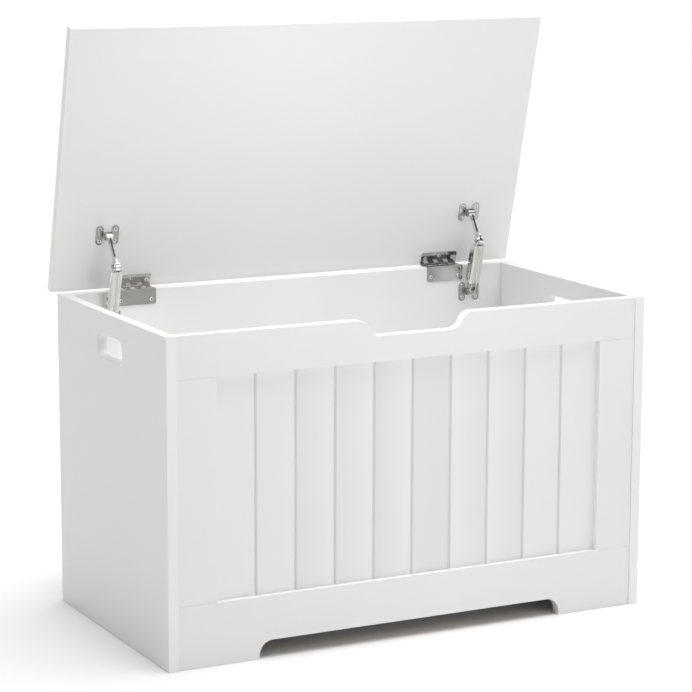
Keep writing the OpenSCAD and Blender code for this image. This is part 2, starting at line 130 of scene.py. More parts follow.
# %% Helpers for node trees
def math_node(tree, operation, first, second, clamp=False):
    node = tree.nodes.new("ShaderNodeMath")
    node.operation = operation
    node.use_clamp = clamp
    for slot, value in enumerate((first, second)):
        if isinstance(value, (int, float)):
            node.inputs[slot].default_value = value
        else:
            tree.links.new(value, node.inputs[slot])
    return node.outputs[0]


# %% [markdown]
# Plated steel only looks like metal when it has something to mirror. A studio hangs dark cards between
# its soft boxes for this, so the sky is plain white for the chest's paint, and for reflections alone it
# has upright dark and bright bands.

# %% Sky with cards for reflections
CARDS, CARD_DARK, CARD_BRIGHT, CARD_TURN, CARD_SHARP = 3, 0.02, 1.9, 0.15, 2.0


def studio_sky():
    sky = bpy.data.worlds.new("sky")
    scene.world = sky
    sky.use_nodes = True
    tree = sky.node_tree
    plain = tree.nodes["Background"]
    plain.inputs["Strength"].default_value = SKY
    plain.inputs["Color"].default_value = (1, 1, 1, 1)
    towards = tree.nodes.new("ShaderNodeSeparateXYZ")
    tree.links.new(tree.nodes.new("ShaderNodeTexCoord").outputs["Generated"], towards.inputs[0])
    compass = math_node(tree, "ARCTAN2", towards.outputs["Y"], towards.outputs["X"])
    phase = math_node(tree, "ADD", math_node(tree, "MULTIPLY", compass, CARDS), CARD_TURN)
    wave = math_node(tree, "SINE", phase, 0.0)
    lift = math_node(tree, "MULTIPLY", math_node(tree, "ADD", wave, 1.0), 0.5)
    sharp = math_node(tree, "POWER", lift, CARD_SHARP)
    level = math_node(tree, "ADD", math_node(tree, "MULTIPLY", sharp, CARD_BRIGHT), CARD_DARK)
    cards = tree.nodes.new("ShaderNodeBackground")
    tree.links.new(level, cards.inputs["Strength"])
    choice = tree.nodes.new("ShaderNodeMixShader")
    tree.links.new(tree.nodes.new("ShaderNodeLightPath").outputs["Is Glossy Ray"], choice.inputs[0])
    tree.links.new(plain.outputs[0], choice.inputs[1])
    tree.links.new(cards.outputs[0], choice.inputs[2])
    tree.links.new(choice.outputs[0], tree.nodes["World Output"].inputs["Surface"])


studio_sky()

# %% [markdown]
# ## Finishes
# Three effects serve several finishes, so each is a node group that is built once: the fine ripple
# of sprayed lacquer, the drawn grain of plated steel, and a painted highlight on convex edges.

# %% Helpers for node groups
def new_group(name, inputs, outputs):
    tree = bpy.data.node_groups.new(name, "ShaderNodeTree")
    for label, value in inputs.items():
        socket = tree.interface.new_socket(label, in_out="INPUT", socket_type="NodeSocketFloat")
        socket.default_value = value
    for label in outputs:
        tree.interface.new_socket(label, in_out="OUTPUT", socket_type="NodeSocketFloat")
    return tree, tree.nodes.new("NodeGroupInput"), tree.nodes.new("NodeGroupOutput")


def noise(tree, place, scale, detail=3.0, rough=0.5):
    node = tree.nodes.new("ShaderNodeTexNoise")
    node.inputs["Detail"].default_value = detail
    node.inputs["Roughness"].default_value = rough
    tree.links.new(place, node.inputs["Vector"])
    if isinstance(scale, (int, float)):
        node.inputs["Scale"].default_value = scale
    else:
        tree.links.new(scale, node.inputs["Scale"])
    return node.outputs["Fac"]


# %% Lacquer ripple
BROAD_RIPPLE, BROAD_SHARE = 60.0, 0.8


def lacquer_ripple():
    tree, given, result = new_group("lacquer_ripple", {"Scale": 420.0, "Patch": 5.0},
                                    ("Height", "Tone"))
    place = tree.nodes.new("ShaderNodeTexCoord").outputs["Object"]
    fine = noise(tree, place, given.outputs["Scale"], 2.0)
    broad = noise(tree, place, BROAD_RIPPLE, 2.0)
    height = math_node(tree, "ADD", fine, math_node(tree, "MULTIPLY", broad, BROAD_SHARE))
    tree.links.new(height, result.inputs["Height"])
    tree.links.new(noise(tree, place, given.outputs["Patch"], 4.0), result.inputs["Tone"])
    return tree


# %% Drawn grain of plated steel
DRAWN_ALONG_X, PLATE_CLOUDS_AND_REFLECTIONS = (0.08, 1.0, 1.0), 55.0


def drawn_grain():
    tree, given, result = new_group("drawn_grain", {"Scale": 900.0}, ("Height", "Tone"))
    place = tree.nodes.new("ShaderNodeTexCoord").outputs["Object"]
    stretch = tree.nodes.new("ShaderNodeMapping")
    stretch.inputs["Scale"].default_value = DRAWN_ALONG_X
    tree.links.new(place, stretch.inputs["Vector"])
    lines = noise(tree, stretch.outputs["Vector"], given.outputs["Scale"], 3.0, 0.6)
    tree.links.new(lines, result.inputs["Height"])
    # The Tone clouds are the plating's own cloudiness and, where a finish spreads them wide, a painted reflection.
    tree.links.new(noise(tree, place, PLATE_CLOUDS_AND_REFLECTIONS, 3.0), result.inputs["Tone"])
    return tree


# %% Painted highlight on edges
def painted_edge_highlight():
    tree, given, result = new_group("painted_edge_highlight", {"From": 0.515, "Spread": 0.05}, ("Mask",))
    # Pointiness marks convex edges, where the finish is lightened as a painted highlight.
    point = tree.nodes.new("ShaderNodeNewGeometry").outputs["Pointiness"]
    above = math_node(tree, "SUBTRACT", point, given.outputs["From"])
    mask = math_node(tree, "DIVIDE", above, given.outputs["Spread"], clamp=True)
    tree.links.new(mask, result.inputs["Mask"])
    return tree


RIPPLE, GRAIN, EDGE_HIGHLIGHT = lacquer_ripple(), drawn_grain(), painted_edge_highlight()
print("node groups:", [g.name for g in bpy.data.node_groups])

# %% [markdown]
# A finish is a Principled shader fed by those groups: a tone that drifts between two colours, a
# roughness that drifts with it, and a bump for the ripple or the grain. What is constant sits on the
# shader's own sockets, so it survives export.

# %% One recipe for all finishes
def placed(tree, group, **values):
    node = tree.nodes.new("ShaderNodeGroup")
    node.node_tree = group
    for label, value in values.items():
        node.inputs[label].default_value = value
    return node


def colour_mix(tree, factor, first, second):
    node = tree.nodes.new("ShaderNodeMix")
    node.data_type = "RGBA"
    sockets = [s for s in node.inputs if s.type == "RGBA"]
    tree.links.new(factor, node.inputs["Factor"])
    for socket, value in zip(sockets, (first, second)):
        if isinstance(value, tuple):
            socket.default_value = (*value, 1)
        else:
            tree.links.new(value, socket)
    return next(s for s in node.outputs if s.type == "RGBA")


def finish(name, group, settings, dark, light, edge, rough, bump, depth, **constants):
    material = bpy.data.materials.new(name)
    material.use_nodes = True
    tree = material.node_tree
    shader = tree.nodes["Principled BSDF"]
    skin = placed(tree, group, **settings)
    # edges marks convex edges, and edge is the colour of the painted highlight laid there.
    edges = placed(tree, EDGE_HIGHLIGHT)
    body = colour_mix(tree, skin.outputs["Tone"], dark, light)
    tree.links.new(colour_mix(tree, edges.outputs["Mask"], body, edge), shader.inputs["Base Color"])
    drift = math_node(tree, "MULTIPLY", skin.outputs["Tone"], rough[1] - rough[0])
    tree.links.new(math_node(tree, "ADD", drift, rough[0]), shader.inputs["Roughness"])
    relief = tree.nodes.new("ShaderNodeBump")
    relief.inputs["Strength"].default_value = bump
    relief.inputs["Distance"].default_value = depth
    tree.links.new(skin.outputs["Height"], relief.inputs["Height"])
    tree.links.new(relief.outputs["Normal"], shader.inputs["Normal"])
    for label, value in constants.items():
        shader.inputs[label.replace("_", " ")].default_value = value
    return material


# %% The finishes themselves
LACQUER = finish("white_lacquer", RIPPLE, {"Scale": 420.0, "Patch": 5.0},
                 dark=(0.82, 0.82, 0.815), light=(0.86, 0.86, 0.855), edge=(0.90, 0.90, 0.895),
                 rough=(0.30, 0.42), bump=0.12, depth=0.0004, Coat_Weight=0.25, Coat_Roughness=0.18)
INNER = finish("inner_lacquer", RIPPLE, {"Scale": 380.0, "Patch": 7.0},
               dark=(0.80, 0.80, 0.79), light=(0.84, 0.84, 0.83), edge=(0.87, 0.87, 0.86),
               rough=(0.42, 0.55), bump=0.15, depth=0.0004)
# The grooved panel has the same white lacquer as the frame. This copy is darker so that the panel does not come
# out brighter than the stiles: painted shade.
PANEL_SHADED = finish("panel_lacquer_shaded", RIPPLE, {"Scale": 420.0, "Patch": 6.0},
               dark=(0.745, 0.745, 0.74), light=(0.785, 0.785, 0.78), edge=(0.87, 0.87, 0.865),
               rough=(0.34, 0.46), bump=0.12, depth=0.0004, Coat_Weight=0.2, Coat_Roughness=0.2)
BUMPER = finish("clear_bumper", RIPPLE, {"Scale": 700.0, "Patch": 90.0},
                dark=(0.87, 0.87, 0.87), light=(0.93, 0.93, 0.93), edge=(0.97, 0.97, 0.97),
                rough=(0.12, 0.25), bump=0.08, depth=0.0002, Subsurface_Weight=0.3, Coat_Weight=0.4)
PAD = finish("friction_pad", RIPPLE, {"Scale": 1500.0, "Patch": 160.0},
             dark=(0.018, 0.018, 0.02), light=(0.04, 0.04, 0.043), edge=(0.07, 0.07, 0.075),
             rough=(0.45, 0.6), bump=0.2, depth=0.0002)
# Its tone drifts widely from dark to light: partly the plating's cloudiness, partly painted reflection standing in
# for blotchy mirrored surroundings.
NICKEL = finish("nickel_plate", GRAIN, {"Scale": 900.0},
                dark=(0.26, 0.255, 0.245), light=(0.66, 0.65, 0.63), edge=(0.46, 0.455, 0.445),
                rough=(0.08, 0.18), bump=0.06, depth=0.0002, Metallic=1.0)
POLISHED = finish("polished_nickel", GRAIN, {"Scale": 1400.0},
                  dark=(0.60, 0.59, 0.575), light=(0.86, 0.85, 0.83), edge=(0.90, 0.89, 0.87),
                  rough=(0.04, 0.10), bump=0.02, depth=0.0001, Metallic=1.0)
ZINC = finish("zinc_plate", GRAIN, {"Scale": 1400.0},
              dark=(0.40, 0.41, 0.43), light=(0.56, 0.57, 0.59), edge=(0.70, 0.71, 0.73),
              rough=(0.30, 0.48), bump=0.15, depth=0.0002, Metallic=1.0)

# %% [markdown]
# A screw head's cross recess and the line round its rim lie in shade, and that shade is painted here. The
# screw is given an attribute for it, and its finish darkens wherever the attribute says.

# %% Nickel with painted shade in its recesses
# Near-black colour of the painted shade in recesses and round the rim.
PAINTED_SHADE = (0.03, 0.03, 0.03)


def with_painted_shade(name):
    # This nickel is kept far lighter than nickel_plate so that the screw heads read as bright dots: a painted
    # highlight.
    material = finish(name, GRAIN, {"Scale": 900.0},
                      dark=(0.72, 0.71, 0.69), light=(0.92, 0.91, 0.89), edge=(0.95, 0.94, 0.92),
                      rough=(0.22, 0.36), bump=0.06, depth=0.0002, Metallic=0.85)
    tree = material.node_tree
    base = tree.nodes["Principled BSDF"].inputs["Base Color"]
    clean = base.links[0].from_socket
    # The attribute marks where shade is painted, and the near-black shade colour is mixed in there.
    painted_shade = tree.nodes.new("ShaderNodeAttribute")
    painted_shade.attribute_name = "painted_shade"
    tree.links.new(colour_mix(tree, painted_shade.outputs["Fac"], clean, PAINTED_SHADE), base)
    return material


SCREW_NICKEL = with_painted_shade("screw_nickel")

# %% [markdown]
# Bare timber shows only under the floor, on the cleats and dowels. Its grain runs along X: a wave
# texture bent by noise gives the rings, and a fine stretched noise gives the pores.

# %% Bare timber
LONG_GRAIN, RINGS, RING_BEND, PORES = (0.6, 9.0, 9.0), 6.0, 5.0, 60.0


def bare_timber():
    material = bpy.data.materials.new("bare_timber")
    material.use_nodes = True
    tree = material.node_tree
    shader = tree.nodes["Principled BSDF"]
    place = tree.nodes.new("ShaderNodeTexCoord").outputs["Object"]
    along = tree.nodes.new("ShaderNodeMapping")
    along.inputs["Scale"].default_value = LONG_GRAIN
    tree.links.new(place, along.inputs["Vector"])
    rings = tree.nodes.new("ShaderNodeTexWave")
    rings.inputs["Scale"].default_value = RINGS
    rings.inputs["Distortion"].default_value = RING_BEND
    tree.links.new(along.outputs["Vector"], rings.inputs["Vector"])
    pores = noise(tree, along.outputs["Vector"], PORES, 4.0)
    both = math_node(tree, "MULTIPLY", rings.outputs["Fac"], pores)
    colour = colour_mix(tree, both, (0.50, 0.33, 0.17), (0.70, 0.52, 0.32))
    tree.links.new(colour, shader.inputs["Base Color"])
    tree.links.new(math_node(tree, "ADD", math_node(tree, "MULTIPLY", pores, 0.2), 0.55),
                   shader.inputs["Roughness"])
    relief = tree.nodes.new("ShaderNodeBump")
    relief.inputs["Strength"].default_value = 0.3
    relief.inputs["Distance"].default_value = 0.0004
    tree.links.new(pores, relief.inputs["Height"])
    tree.links.new(relief.outputs["Normal"], shader.inputs["Normal"])
    return material


TIMBER = bare_timber()
BY_SLOT = {"white_lacquer": LACQUER, "bare_timber": TIMBER, "nickel": NICKEL, "zinc": ZINC,
           "friction_pad": PAD, "clear_bumper": BUMPER}
SLOT_OF = {p["node"]: p["material_slot"] for p in frame["record"]["subparts"]}
BODY_OF = {n: b for b, names in frame["record"]["behaviour"]["bodies"].items() for n in names}

# %% [markdown]
# Every part of the frame gets its finish now. Parts that are rebuilt later are hidden then; the ones
# whose shape is already right, such as pins and springs, simply keep it.

# %% Finish on the frame's own parts
for name, part in nodes.items():
    for place in part.material_slots:
        place.material = BY_SLOT[SLOT_OF[name]]
    if not part.material_slots:
        part.data.materials.append(BY_SLOT[SLOT_OF[name]])

# %% Floor
FLOOR_WIDE, FLOOR_GAP = 80, 0.0002


def studio_floor():
    material = bpy.data.materials.new("pale_floor")
    material.use_nodes = True
    tree = material.node_tree
    shader = tree.nodes["Principled BSDF"]
    place = tree.nodes.new("ShaderNodeTexCoord").outputs["Object"]
    colour = colour_mix(tree, noise(tree, place, 1.5), (0.90, 0.90, 0.90), (0.94, 0.94, 0.94))
    tree.links.new(colour, shader.inputs["Base Color"])
    shader.inputs["Roughness"].default_value = 0.9
    shader.inputs["Specular IOR Level"].default_value = 0.1
    bpy.ops.mesh.primitive_plane_add(size=FLOOR_WIDE, location=(0, 0, cad_box[0].z - FLOOR_GAP))
    floor = bpy.context.object
    floor.name = "floor"
    floor.data.materials.append(material)


studio_floor()

# %% [markdown]
# ## Boards
# Most boards are cut from 15 mm fibreboard, and their edges are eased before spraying. A flat curve is the
# quick way to such a shape: its outline may have holes, its extrusion is the thickness, and its bevel
# is the eased edge. The result is merged into a closed mesh and laid where the frame has the board.

# %% From a mesh to a finished piece
WELD = 1e-6
SHARP, ROUND_SHARP = 35, 40  # degrees from which an edge stays sharp, on boards and on round parts


def add_piece(name, mesh, material, body, replaced):
    piece = bpy.data.objects.new(name, mesh)
    bpy.context.collection.objects.link(piece)
    mesh.materials.clear()
    mesh.materials.append(material)
    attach(piece, body)
    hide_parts(*replaced)


def close_up(mesh, angle=SHARP):
    shape = bmesh.new()
    shape.from_mesh(mesh)
    bmesh.ops.remove_doubles(shape, verts=shape.verts, dist=WELD)
    bmesh.ops.recalc_face_normals(shape, faces=shape.faces)
    shape.to_mesh(mesh)
    shape.free()
    mesh.shade_smooth()
    mesh.set_sharp_from_angle(angle=math.radians(angle))
    return mesh


def baked(obj):
    bpy.context.view_layer.update()
    graph = bpy.context.evaluated_depsgraph_get()
    mesh = bpy.data.meshes.new_from_object(obj.evaluated_get(graph))
    bpy.data.objects.remove(obj)
    return mesh


def even_shading(mesh):
    obj = bpy.data.objects.new("work", mesh)
    bpy.context.collection.objects.link(obj)
    weigh = obj.modifiers.new("weigh", "WEIGHTED_NORMAL")
    weigh.keep_sharp = True
    return baked(obj)


def extent(mesh):
    return [[pick(v.co[i] for v in mesh.vertices) for i in range(3)] for pick in (min, max)]


# %% A board from its outlines
# The axes say where the outline's u, v and the thickness point.
FRONTAL = Matrix(((1, 0, 0, 0), (0, 0, -1, 0), (0, 1, 0, 0), (0, 0, 0, 1)))   # u = X, v = Z
SIDEWAYS = Matrix(((0, 0, 1, 0), (1, 0, 0, 0), (0, 1, 0, 0), (0, 0, 0, 1)))   # u = Y, v = Z
LYING = Matrix.Identity(4)                                                    # u = X, v = Y


def board(outlines, axes, middle, thickness, ease):
    curve = bpy.data.curves.new("board", "CURVE")
    curve.dimensions = "2D"
    curve.fill_mode = "BOTH"
    curve.extrude = thickness / 2 - ease
    curve.bevel_depth = ease
    curve.bevel_resolution = 2
    curve.offset = -ease
    for outline in outlines:
        line = curve.splines.new("POLY")
        line.points.add(len(outline) - 1)
        for point, (u, v) in zip(line.points, outline):
            point.co = (u, v, 0, 1)
        line.use_cyclic_u = True
    obj = bpy.data.objects.new("work", curve)
    bpy.context.collection.objects.link(obj)
    mesh = baked(obj)
    mesh.transform(Matrix.Translation(middle) @ axes)
    return even_shading(close_up(mesh))


def rectangle(u0, v0, u1, v1):
    return [(u0, v0), (u1, v0), (u1, v1), (u0, v1)]


def arc(centre, radius, start, end, steps=10):
    angles = [math.radians(start + (end - start) * i / steps) for i in range(steps + 1)]
    return [(centre[0] + radius * math.cos(a), centre[1] + radius * math.sin(a)) for a in angles]


def mirrored(outline):
    return [(-u, v) for u, v in reversed(outline)]


EASE = 1.2 * MM
RAIL_EASE = 0.7 * MM
SOFT_EASE = 2.0 * MM
JOINT_EASE = 0.35 * MM


def place_board(node, outlines, axes, ease=EASE, material=LACQUER):
    low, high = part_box(node)
    middle = (Vector(low) + Vector(high)) / 2
    size = Vector(high) - Vector(low)
    through = next(i for i in range(3) if axes[i][2])  # the axis that the thickness points along
    centre = Vector()
    centre[through] = middle[through]
    mesh = board(outlines, axes, centre, size[through], ease)
    add_piece(node + "_board", mesh, material, BODY_OF[node], [node])
    made = [b - a for a, b in zip(*extent(mesh))]
    print(node, "made", [round(m / MM, 2) for m in made], "wanted", [round(s / MM, 2) for s in size])


# %% [markdown]
# The side panels have a long rounded hole to lift the chest by: a slot with half-round ends, in the
# middle of the depth. Its size is part of the design, its height is measured from the top edge.

# %% Side panels
HANDLE_LONG, HANDLE_HIGH, HANDLE_ROUND, HANDLE_DROP = 90 * MM, 33 * MM, 15 * MM, 47 * MM


def handle_outline(mid_y, mid_z):
    reach, rise = HANDLE_LONG / 2 - HANDLE_ROUND, HANDLE_HIGH / 2 - HANDLE_ROUND
    outline = []
    for start, u, v in ((90, 1, 1), (0, 1, -1), (-90, -1, -1), (-180, -1, 1)):
        centre = (mid_y + u * reach, mid_z + v * rise)
        outline += arc(centre, HANDLE_ROUND, start, start - 90, 10)
    return outline


for side in ("left", "right"):
    low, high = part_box(side + "_side_panel")
    hole = handle_outline((low[1] + high[1]) / 2, high[2] - HANDLE_DROP)
    place_board(side + "_side_panel", [rectangle(low[1], low[2], high[1], high[2]), hole], SIDEWAYS)

# %% [markdown]
# The front is a frame. Its top rail dips in an ogee so that fingers can reach under the lid, and its
# bottom rail is cut to an arch with round corners, which leaves two feet.

# %% Rails and stiles of the front
GRIP_WIDE, GRIP_RUN, GRIP_DEEP = 146 * MM, 34 * MM, 23 * MM
ARCH_WIDE, ARCH_HIGH, ARCH_ROUND = 476 * MM, 25 * MM, 20 * MM

low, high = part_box("front_top_rail")
curl = (GRIP_RUN ** 2 + GRIP_DEEP ** 2) / (4 * GRIP_DEEP)
sweep = math.degrees(2 * math.atan(GRIP_DEEP / GRIP_RUN))
outer, inner = (GRIP_WIDE + GRIP_RUN) / 2, (GRIP_WIDE - GRIP_RUN) / 2
right_end = (arc((outer, high[2] - curl), curl, 90, 90 + sweep)
             + arc((inner, high[2] - GRIP_DEEP + curl), curl, sweep - 90, -90)[1:])
left_end = mirrored(right_end)
place_board("front_top_rail", [[(low[0], low[2]), (high[0], low[2]), (high[0], high[2])]
                               + right_end + left_end + [(low[0], high[2])]], FRONTAL, RAIL_EASE)

low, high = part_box("front_bottom_rail")
top = low[2] + ARCH_HIGH
left_arch = [(-ARCH_WIDE / 2, low[2])] + arc((ARCH_ROUND - ARCH_WIDE / 2, top - ARCH_ROUND),
                                             ARCH_ROUND, 180, 90)
right_arch = mirrored(left_arch)
place_board("front_bottom_rail", [[(low[0], low[2])] + left_arch + right_arch
                                  + [(high[0], low[2]), (high[0], high[2]), (low[0], high[2])]],
            FRONTAL, RAIL_EASE)

for node in ("left_stile", "right_stile"):
    low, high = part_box(node)
    place_board(node, [rectangle(low[0], low[2], high[0], high[2])], FRONTAL, RAIL_EASE)

# %% [markdown]
# Back, floor and cleats are plain boards. The lid is one too, but it stands open in the frame, so it
# is cut flat and then turned about its hinge to where the frame has it.

# %% Back, floor and cleats
low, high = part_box("back_panel")
place_board("back_panel", [rectangle(low[0], low[2], high[0], high[2])], FRONTAL, RAIL_EASE)
low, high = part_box("floor_panel")
place_board("floor_panel", [rectangle(low[0], low[1], high[0], high[1])], LYING, JOINT_EASE, INNER)
for node in ("front_cleat", "back_cleat"):
    low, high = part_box(node)
    place_board(node, [rectangle(low[0], low[1], high[0], high[1])], LYING, JOINT_EASE, TIMBER)

# %% Lid
hinge = joints["lid_hinge"]
axis_at = Vector(hinge["pos_m"])
closing = math.radians(hinge["range_deg"][1])


def about_hinge(angle):
    spin = Matrix.Rotation(angle, 4, "X")
    return Matrix.Translation(axis_at) @ spin @ Matrix.Translation(-axis_at)


flat = [about_hinge(closing) @ v.co for v in nodes["lid_panel"].data.vertices]
low = Vector([min(p[i] for p in flat) for i in range(3)])
high = Vector([max(p[i] for p in flat) for i in range(3)])
lid = board([rectangle(low.x, low.y, high.x, high.y)], LYING,
            Vector((0, 0, (low.z + high.z) / 2)), high.z - low.z, SOFT_EASE)
lid.transform(about_hinge(-closing))
add_piece("lid_board", lid, LACQUER, "lid", ["lid_panel"])
print("lid lies", [round(c, 4) for c in (*low, *high)])

# %% [markdown]
# ## Grooved front panel
# The panel is one thin sheet with V-grooves that make it look like ten narrow boards. A cross-section
# with its grooves, drawn once and pulled up to full height, is the whole piece. Behind, it stands a
# hair proud of the frame that it is let into, so that its outline shows there.

# %% Grooved panel
GROOVE_PITCH, GROOVE_WIDE, GROOVE_DEEP, GROOVE_LIP = 60 * MM, 4.4 * MM, 2.4 * MM, 0.5 * MM
LIP_DROP = 0.2 * GROOVE_LIP
PROUD = 0.15 * MM


def grooved_section(x0, x1, face, back):
    count = int((x1 - x0) / GROOVE_PITCH) // 2
    half = GROOVE_WIDE / 2
    points = [(x0, back), (x0, face)]
    for i in range(1 - count, count):
        x = i * GROOVE_PITCH
        points += [(x - half - GROOVE_LIP, face), (x - half, face + LIP_DROP), (x, face + GROOVE_DEEP),
                   (x + half, face + LIP_DROP), (x + half + GROOVE_LIP, face)]
    return points + [(x1, face), (x1, back)]


def pulled_up(points, z0, z1):
    shape = bmesh.new()
    rings = [[shape.verts.new((x, y, z)) for x, y in points] for z in (z0, z1)]
    for i in range(len(points)):
        j = (i + 1) % len(points)
        shape.faces.new((rings[0][i], rings[0][j], rings[1][j], rings[1][i]))
    for ring in rings:
        shape.faces.new(ring)
    bmesh.ops.triangulate(shape, faces=[f for f in shape.faces if len(f.verts) > 4])
    mesh = bpy.data.meshes.new("section")
    shape.to_mesh(mesh)
    shape.free()
    return mesh


low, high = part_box("beadboard_panel")
panel = pulled_up(grooved_section(low[0], high[0], low[1], high[1] + PROUD), low[2], high[2])
panel = close_up(panel)
panel.shade_flat()
add_piece("grooved_panel", panel, PANEL_SHADED, "box", ["beadboard_panel"])
print("grooved panel:", len(panel.polygons), "faces")

# %% [markdown]
# ## Screws
# Twenty-six countersunk screws hold the hinges and stays, and eight more hold the cleats. One screw
# is turned and given its cross recess, and Geometry Nodes put a copy wherever the frame has a screw,
# each turned by a chance angle. Cam locks and lid bumpers are set by the same tree.

# %% One screw
HEAD, SHANK, CONE, LONG, DOME = 3.5 * MM, 1.25 * MM, 1.75 * MM, 12 * MM, 0.35 * MM
RIM, RIM_STEP, RIM_UP, RIM_HIGH = 0.87, 0.03, 0.03 * MM, 0.1 * MM
# Where the painted shade ring starts round the rim, and the depth at which a recess is fully shaded.
SHADE_RING_FROM, SHADE_DEPTH = RIM + 0.01, 0.25 * MM
CROSS_LONG, CROSS_WIDE, CROSS_DEEP, TIP = 3.6 * MM, 0.85 * MM, 1.0 * MM, 2 * MM


def turned(profile, steps=28):
    shape = bmesh.new()
    line = [shape.verts.new((r, 0, z)) for r, z in profile]
    edges = [shape.edges.new(pair) for pair in zip(line, line[1:])]
    bmesh.ops.spin(shape, geom=line + edges, cent=(0, 0, 0), axis=(0, 0, 1), angle=2 * math.pi,
                   steps=steps, use_merge=True)
    mesh = bpy.data.meshes.new("turned")
    shape.to_mesh(mesh)
    shape.free()
    return close_up(mesh, ROUND_SHARP)


def cross_cut(mesh, long, wide, deep):
    work = bpy.data.objects.new("work", mesh)
    bpy.context.collection.objects.link(work)
    blades = []
    for number in range(2):
        cutter = bmesh.new()
        bmesh.ops.create_cube(cutter, size=1)
        bmesh.ops.scale(cutter, vec=(long, wide, 2 * deep), verts=cutter.verts)
        bmesh.ops.rotate(cutter, verts=cutter.verts,
                         matrix=Matrix.Rotation(math.pi / 2 * number, 3, "Z"))
        blade_mesh = bpy.data.meshes.new("blade")
        cutter.to_mesh(blade_mesh)
        cutter.free()
        blade = bpy.data.objects.new("blade", blade_mesh)
        bpy.context.collection.objects.link(blade)
        cut = work.modifiers.new("recess", "BOOLEAN")
        cut.operation = "DIFFERENCE"
        cut.solver = "EXACT"
        cut.object = blade
        blades.append(blade)
    result = baked(work)
    for blade in blades:
        bpy.data.objects.remove(blade)
    result.shade_smooth()
    result.set_sharp_from_angle(angle=math.radians(SHARP))
    return result


def add_painted_shade(mesh, head, dome):
    # Painted shade: 1 on the ring round the rim, and rising with depth below the dome in the recesses.
    painted_shade = mesh.attributes.new("painted_shade", "FLOAT", "POINT")
    for vert in mesh.vertices:
        out = math.hypot(vert.co.x, vert.co.y) / head
        below = dome * (1 - out * out) - vert.co.z
        deep = min(max(below / SHADE_DEPTH, 0.0), 1.0)
        painted_shade.data[vert.index].value = 1.0 if out > SHADE_RING_FROM else deep


def one_screw():
    rim = [(HEAD * c, DOME * (1 - c * c)) for c in (0, 0.35, 0.65, RIM)]
    body = turned(rim + [(HEAD * (RIM + RIM_STEP), RIM_UP), (HEAD, RIM_UP), (HEAD, -RIM_HIGH),
                         (SHANK, -CONE), (SHANK, -LONG + TIP), (0, -LONG)])
    mesh = cross_cut(body, CROSS_LONG, CROSS_WIDE, CROSS_DEEP)
    add_painted_shade(mesh, HEAD, DOME)
    screw = bpy.data.objects.new("screw", mesh)
    bpy.context.collection.objects.link(screw)
    return screw


SCREW = one_screw()
print("one screw:", len(SCREW.data.polygons), "faces")

# %% One cam lock
CAM, CAM_DEEP, CAM_RING = 7.5 * MM, 12 * MM, 0.04 * MM
RING_FROM, RING_LOW, RING_TO, RING_DEEP = 0.88 * CAM, 0.92 * CAM, 0.95 * CAM, 0.3 * MM
KEY_LONG, KEY_WIDE, KEY_DEEP = 7 * MM, 1.4 * MM, 2.4 * MM


def one_cam_lock():
    profile = [(0, CAM_RING), (RING_FROM, CAM_RING), (RING_LOW, -RING_DEEP), (RING_TO, CAM_RING),
               (CAM, 0.2 * CAM_RING), (CAM, -CAM_DEEP), (0, -CAM_DEEP)]
    mesh = cross_cut(turned(profile, 36), KEY_LONG, KEY_WIDE, KEY_DEEP)
    # The ring groove and the key slot get the same painted shade.
    add_painted_shade(mesh, 2 * CAM, CAM_RING)
    lock = bpy.data.objects.new("cam_lock", mesh)
    bpy.context.collection.objects.link(lock)
    return lock


CAM_LOCK = one_cam_lock()

# %% One lid bumper
BUMP, BUMP_HIGH, STEM, STEM_LONG = 5 * MM, 2 * MM, 2 * MM, 6 * MM
DOME_SHARE = 0.75  # of its height


def one_bumper():
    dome = [(BUMP * math.sin(a), DOME_SHARE * BUMP_HIGH * (math.cos(a) - 1))
            for a in (math.radians(10 * i) for i in range(10))]
    foot = -BUMP_HIGH - STEM_LONG
    mesh = turned(dome + [(BUMP, -BUMP_HIGH), (STEM, -BUMP_HIGH), (STEM, foot), (0, foot)], 32)
    bumper = bpy.data.objects.new("bumper", mesh)
    bpy.context.collection.objects.link(bumper)
    return bumper


BUMP_PIECE = one_bumper()

# %% Where the frame has screws
HEAD_FLAT = 0.05 * MM


def loose_parts(node):
    shape = bmesh.new()
    shape.from_mesh(nodes[node].data)
    bmesh.ops.remove_doubles(shape, verts=shape.verts, dist=WELD)
    left = set(shape.verts)
    parts = []
    for first in shape.verts:
        if first not in left:
            continue
        left.remove(first)
        todo = [first]
        part = []
        while todo:
            vert = todo.pop()
            part.append(vert.co.copy())
            for edge in vert.link_edges:
                other = edge.other_vert(vert)
                if other in left:
                    left.remove(other)
                    todo.append(other)
        parts.append(part)
    shape.free()
    return parts


def head_centre(part, facing):
    reach = max(p.dot(facing) for p in part)
    rim = [p for p in part if p.dot(facing) > reach - HEAD_FLAT]
    return sum(rim, Vector()) / len(rim)


